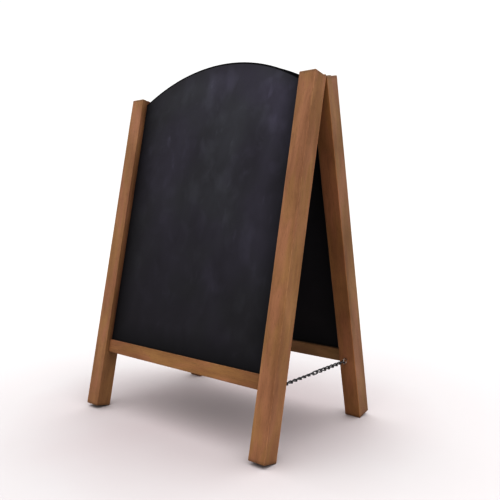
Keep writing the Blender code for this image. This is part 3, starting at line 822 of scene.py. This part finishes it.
def build_blackboard(panel, black):
    """The arch-topped board with its edges softened."""
    node = f"{panel}_blackboard"
    low, high = measure(node, panel)
    arch_radius, arch_centre = measure_arch(panel)
    middle = (low + high) / 2
    half_thickness = (high.y - low.y) / 2
    bm = bmesh.new()
    loops = []
    for face in (-1, 1):
        steps = range(CORNER_STEPS + 1) if face < 0 else range(CORNER_STEPS, -1, -1)
        for step in steps:
            angle = math.pi / 2 * step / CORNER_STEPS
            inset = BOARD_EDGE_ROUND * (1 - math.sin(angle))
            y = middle.y + face * (half_thickness - BOARD_EDGE_ROUND * (1 - math.cos(angle)))
            outline = board_outline(low, high, arch_radius, arch_centre, inset)
            loops.append([bm.verts.new((x, y, z)) for x, z in outline])
    skin(bm, loops)
    seat = (arch_radius, 0.0, arch_centre - middle.z)
    add_piece(node, bm, black, f"{panel}_panel", PANEL_FRAMES[panel], "Z", (low, high), seat)


def shank_radius(panel, side_word):
    """Radius of the hinge screws' shanks, from the lower half of one of them."""
    node = f"{side_word}_hinge_{panel}_screw_1"
    low, high = measure(node, panel)
    middle = (low.z + high.z) / 2
    low, high = measure(node, panel, lambda point: low.z + SAME_PLACE < point.z < middle)
    return (high.x - low.x) / 2


def leaf_outline(low_x, high_x, low_y, high_y, inset):
    """Top view of a leaf's plate, with round corners at its free edge, drawn in by inset."""
    points = [(high_x - inset, high_y), (low_x + inset, high_y)]
    radius = LEAF_CORNER - inset
    for centre_x, start in ((low_x + LEAF_CORNER, math.pi), (high_x - LEAF_CORNER, 1.5 * math.pi)):
        for step in range(LEAF_CORNER_STEPS + 1):
            angle = start + math.pi / 2 * step / LEAF_CORNER_STEPS
            points.append((centre_x + radius * math.cos(angle),
                           low_y + LEAF_CORNER + radius * math.sin(angle)))
    return points


def leaf_thickness(panel, side_word):
    """Thickness of a hinge leaf's plate, from its free edge."""
    node = f"{side_word}_hinge_{panel}_leaf"
    edge = measure(node, panel)[0].y
    low, high = measure(node, panel, lambda point: point.y < edge + SAME_PLACE)
    return high.z - low.z


def build_leaf(panel, side_word, steel):
    """A hinge leaf: plate, knuckles rolled about the pin, countersunk holes."""
    node = f"{side_word}_hinge_{panel}_leaf"
    low, high = measure(node, panel)
    thickness = leaf_thickness(panel, side_word)
    radius = high.z
    under, over = -radius, thickness - radius
    plate = bmesh.new()
    levels = ((under, LEAF_EDGE_ROUND), (under + LEAF_EDGE_ROUND, 0.0),
              (over - LEAF_EDGE_ROUND, 0.0), (over, LEAF_EDGE_ROUND))
    clear_of_barrel = -(radius + 2 * GAP)
    loops = []
    for z, inset in levels:
        outline = leaf_outline(low.x, high.x, low.y, clear_of_barrel, inset)
        loops.append([plate.verts.new((x, y, z)) for x, y in outline])
    skin(plate, loops)
    meets = math.pi - math.asin(over / radius)
    outline = [(-2 * radius, over), (-2 * radius, under)]
    for step in range(ROUND_SIDES + 1):
        angle = -math.pi / 2 + (meets + math.pi / 2) * step / ROUND_SIDES
        outline.append((radius * math.cos(angle), radius * math.sin(angle)))
    width = high.x - low.x
    last = KNUCKLE_COUNT - 1
    knuckles = []
    for index in range(0 if panel == "front" else 1, KNUCKLE_COUNT, 2):
        start = low.x + index * width / KNUCKLE_COUNT + (GAP / 2 if index else 0)
        end = low.x + (index + 1) * width / KNUCKLE_COUNT - (GAP / 2 if index < last else 0)
        knuckles.append(prism(outline, start, end))
    united = cut_or_join(plate, knuckles, "UNION")
    bore_radius = PIN_RADIUS + GAP
    bore_profile = [(low.x - CUT_PAST, bore_radius), (high.x + CUT_PAST, bore_radius)]
    tools = [turned(bore_profile, (1, 0, 0), (0, 0, 0))]
    for number in (1, 2):
        screw_low, screw_high = measure(f"{side_word}_hinge_{panel}_screw_{number}", panel)
        middle = (screw_low + screw_high) / 2
        hole = shank_radius(panel, side_word) + SCREW_HOLE_PLAY
        sink = (screw_high.x - screw_low.x) / 2 + SCREW_HOLE_PLAY
        profile = [(-CUT_PAST, hole), (0.0, hole), (thickness, sink), (thickness + CUT_PAST, sink)]
        tools.append(turned(profile, (0, 0, 1), (middle.x, middle.y, under)))
    add_piece(node, cut_or_join(united, tools, "DIFFERENCE"), steel, f"{panel}_panel",
              PANEL_FRAMES[panel])


def build_pin(side_word, steel):
    """The hinge pin, with a low domed head riveted over each end."""
    node = f"{side_word}_hinge_pin"
    low, high = measure(node, "front")
    head = high.z
    leaf_low, leaf_high = measure(f"{side_word}_hinge_front_leaf", "front")
    half = (high.x - low.x) / 2
    inside = (leaf_high.x - leaf_low.x) / 2 + GAP
    profile = []
    for step in range(PIN_DOME_STEPS + 1):
        angle = math.pi / 2 * step / PIN_DOME_STEPS
        along = inside + (half - inside) * math.cos(angle)
        profile.append((-along, head * max(POINT_SHARE, math.sin(angle))))
    profile.append((-inside, PIN_RADIUS))
    profile += [(-along, radius) for along, radius in reversed(profile)]
    bm = turned(profile, (1, 0, 0), ((low.x + high.x) / 2, 0, 0))
    add_piece(node, bm, steel, "front_panel", PANEL_FRAMES["front"], "X")


def recess_arm(head, turn):
    """One arm of a screw head's tapered cross recess, its mouth at z = 0."""
    arm = bmesh.new()
    loops = []
    for z, (longer, wider) in ((RECESS_DEPTH, RECESS_MOUTH), (-RECESS_DEPTH, RECESS_BOTTOM)):
        x, y = head * RECESS_LENGTH * longer, head * RECESS_WIDTH * wider
        loops.append([arm.verts.new((a, b, z)) for a, b in ((x, y), (-x, y), (-x, -y), (x, -y))])
    skin(arm, loops)
    arm.transform(Matrix.Rotation(turn, 4, "Z"))
    return arm


def build_hinge_screw(panel, side_word, number, steel):
    """A countersunk wood screw: slightly domed head with a tapered cross recess, threaded shank."""
    node = f"{side_word}_hinge_{panel}_screw_{number}"
    low, high = measure(node, panel)
    middle = (low + high) / 2
    head = (high.x - low.x) / 2
    length = high.z - low.z
    shank = shank_radius(panel, side_word)
    head_depth = leaf_thickness(panel, side_word) - SCREW_HEAD_RIM / 2
    profile = [(0.0, head * HEAD_FLAT), (SCREW_HEAD_RIM / 3, head * HEAD_SHOULDER),
               (SCREW_HEAD_RIM, head), (head_depth, shank)]
    for step in range(1, SCREW_STEPS + 1):
        profile.append((head_depth + (length - head_depth) * step / SCREW_STEPS, None))
    bm = bmesh.new()
    loops = []
    for along, radius in profile:
        loop = []
        for side in range(SCREW_SIDES):
            turn = 2 * math.pi * side / SCREW_SIDES
            here = radius
            if here is None:
                taper = max(POINT_SHARE, min(1.0, (length - along) / SCREW_TAPER))
                here = taper * thread_radius(shank, along, turn)
            loop.append(bm.verts.new((middle.x + here * math.cos(turn), middle.y + here * math.sin(turn),
                                      high.z - along)))
        loops.append(loop)
    skin(bm, loops)
    tools = []
    for quarter in (0, 1):
        spin = 0.35 + 0.9 * number + len(node) + quarter * math.pi / 2
        arm = recess_arm(head, spin)
        arm.transform(Matrix.Translation((middle.x, middle.y, high.z)))
        tools.append(arm)
    add_piece(node, cut_or_join(bm, tools, "DIFFERENCE"), steel, f"{panel}_panel", PANEL_FRAMES[panel])


def build_screw_eye(panel, side_word, steel):
    """A screw eye bent from one wire: threaded shank, neck, and a ring whose end stops at the neck."""
    node = f"{panel}_{side_word}_screw_eye"
    low, high = measure(node, panel)
    stile_face = measure(f"{panel}_{side_word}_stile", panel)[1].y
    wire = (high.x - low.x) / 2
    ring = (high.z - low.z) / 2 - wire
    centre = Vector(((low.x + high.x) / 2, high.y - wire - ring, (low.z + high.z) / 2))
    path, threaded = [], []
    shank_end = centre.y - ring - EYE_NECK
    for step in range(EYE_SHANK_STEPS + 1):
        y = low.y + (shank_end - low.y) * step / EYE_SHANK_STEPS
        path.append(Vector((centre.x, y, centre.z)))
        threaded.append(y < stile_face - EYE_NECK)
    for step in range(EYE_RING_STEPS + 1):
        angle = math.radians(EYE_NECK_TURN - 90 + EYE_RING_SWEEP * step / EYE_RING_STEPS)
        path.append(centre + Vector((0, ring * math.sin(angle), ring * math.cos(angle))))
        threaded.append(False)

    def radius_at(index, turn):
        if index < EYE_POINT_STEPS:
            return wire * (POINT_SHARE + (1 - POINT_SHARE) * index / EYE_POINT_STEPS)
        if threaded[index]:
            return thread_radius(wire, path[index].y, turn)
        return wire * (1.0 if index < len(path) - 1 else 0.75)

    bm = bmesh.new()
    sweep(bm, path, radius_at, EYE_SIDES, False)
    add_piece(node, bm, steel, f"{panel}_panel", PANEL_FRAMES[panel])


def link_path(half_span, bow, twist):
    """Centre line of a twisted link along Y."""
    half_side = half_span - bow
    flat = []
    for end in (1, -1):
        for step in range(LINK_BOW_STEPS + 1):
            angle = math.pi * (step / LINK_BOW_STEPS - 0.5)
            flat.append((-end * bow * math.sin(angle), end * (half_side + bow * math.cos(angle))))
        for step in range(1, LINK_SIDE_STEPS):
            flat.append((-end * bow, end * half_side * (1 - 2 * step / LINK_SIDE_STEPS)))
    path = []
    for x, y in flat:
        turn = Matrix.Rotation(math.radians(twist) * y / (2 * half_span), 3, "Y")
        path.append(turn @ Vector((x, y, 0)))
    return path


def link_half_span():
    """Half the length of a link's centre line, from how far apart two hooked links are laid."""
    places = [sum(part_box(f"right_chain_link_{number}"), Vector()).y / 2 for number in ("01", "02")]
    return (abs(places[1] - places[0]) + 2 * LINK_WIRE_RADIUS + GAP) / 2


def link_twist_and_turn(node):
    """A link's own twist and its turn about the chain, in degrees.

    The middle link is flat. The others turn little by little about the chain, from none at its ends
    to the most beside the middle link, one way in front of it and the other way behind it."""
    chain, _, number = node.rpartition("_")
    count = sum(other.startswith(chain) for other in slots)
    from_middle = int(number) - (count + 1) // 2
    if not from_middle:
        return 0, MIDDLE_LINK_TURN
    share = ((count - 1) // 2 - abs(from_middle)) / ((count - 3) // 2)
    return LINK_TWIST, math.copysign(NEIGHBOUR_TURN, from_middle) * share


def build_link(node, body, steel):
    """A chain link, its wire butt-welded in the middle of one side."""
    low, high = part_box(node)
    centre = (low + high) / 2
    twist, turn = link_twist_and_turn(node)
    spin = Matrix.Rotation(math.radians(turn), 3, "Y")
    path = [spin @ point for point in link_path(link_half_span(), LINK_BOW_RADIUS, twist)]
    weld = LINK_BOW_STEPS + LINK_SIDE_STEPS // 2

    def radius_at(index, _):
        return LINK_WIRE_RADIUS * (1.0 + WELD_BULGE * math.exp(-((index - weld) / WELD_STEPS) ** 2))

    bm = bmesh.new()
    sweep(bm, path, radius_at, LINK_SIDES, True)
    add_piece(node, bm, steel, body, Matrix.Translation(centre))


def build_object():
    wood = stained_wood()
    black = chalkboard()
    zinc = plated_steel("zinc_steel")
    bronze = plated_steel("bronzed_steel")
    chain = plated_steel("chain_steel")
    for panel in ("front", "rear"):
        turned_round = 1 if panel == "front" else -1
        build_rail(panel, wood)
        build_blackboard(panel, black)
        for side_word, side in (("left", -1), ("right", 1)):
            build_stile(panel, side_word, side * turned_round, wood)
            build_screw_eye(panel, side_word, zinc)
            build_leaf(panel, side_word, bronze)
            for number in (1, 2):
                build_hinge_screw(panel, side_word, number, bronze)
    for side_word in ("left", "right"):
        build_pin(side_word, bronze)
    for body, nodes in record["behaviour"]["bodies"].items():
        for node in nodes:
            if "chain_link" in node:
                build_link(node, body, chain)


def build_floor():
    bm = bmesh.new()
    bmesh.ops.create_grid(bm, x_segments=8, y_segments=8, size=FLOOR_SIZE)
    mesh = bpy.data.meshes.new("floor")
    bm.to_mesh(mesh)
    bm.free()
    mesh.materials.append(studio_floor())
    add_to_scene("floor", mesh)


def build_sky():
    """A plain white sky, brighter overhead and on the right. The camera itself sees it evenly bright."""
    world = bpy.data.worlds.new("studio")
    bpy.context.scene.world = world
    world.use_nodes = True
    tree = world.node_tree
    background = tree.nodes["Background"]
    background.inputs["Color"].default_value = (1.0, 1.0, 1.0, 1.0)
    place = tree.nodes.new("ShaderNodeTexCoord")
    split = tree.nodes.new("ShaderNodeSeparateXYZ")
    tree.links.new(place.outputs["Generated"], split.inputs[0])
    lift = tree.nodes.new("ShaderNodeMapRange")
    tree.links.new(split.outputs[2], lift.inputs[0])
    for index, value in enumerate((0.0, 1.0, SKY_HORIZON, SKY_ZENITH), start=1):
        lift.inputs[index].default_value = value
    side = tree.nodes.new("ShaderNodeMath")
    side.operation = "MULTIPLY_ADD"
    tree.links.new(split.outputs[0], side.inputs[0])
    side.inputs[1].default_value = SKY_RIGHT_SIDE
    side.inputs[2].default_value = 1.0
    strength = tree.nodes.new("ShaderNodeMath")
    strength.operation = "MULTIPLY"
    tree.links.new(lift.outputs[0], strength.inputs[0])
    tree.links.new(side.outputs[0], strength.inputs[1])
    path = tree.nodes.new("ShaderNodeLightPath")
    choose = tree.nodes.new("ShaderNodeMix")
    tree.links.new(path.outputs["Is Camera Ray"], choose.inputs[0])
    tree.links.new(strength.outputs[0], choose.inputs[2])
    choose.inputs[3].default_value = SKY_SEEN
    tree.links.new(choose.outputs[0], background.inputs["Strength"])


def set_display():
    display = bpy.context.scene.view_settings
    display.view_transform = "Standard"
    display.gamma = DISPLAY_GAMMA


def add_camera():
    data = bpy.data.cameras.new("camera")
    data.lens = CAMERA_LENS
    data.shift_x, data.shift_y = CAMERA_SHIFT
    camera = add_to_scene("camera", data)
    camera.location = CAMERA_PLACE
    camera.rotation_euler = (math.radians(90 + CAMERA_PITCH), 0, math.radians(CAMERA_YAW))
    bpy.context.scene.camera = camera


build_object()
build_sky()
build_floor()
set_display()
add_camera()
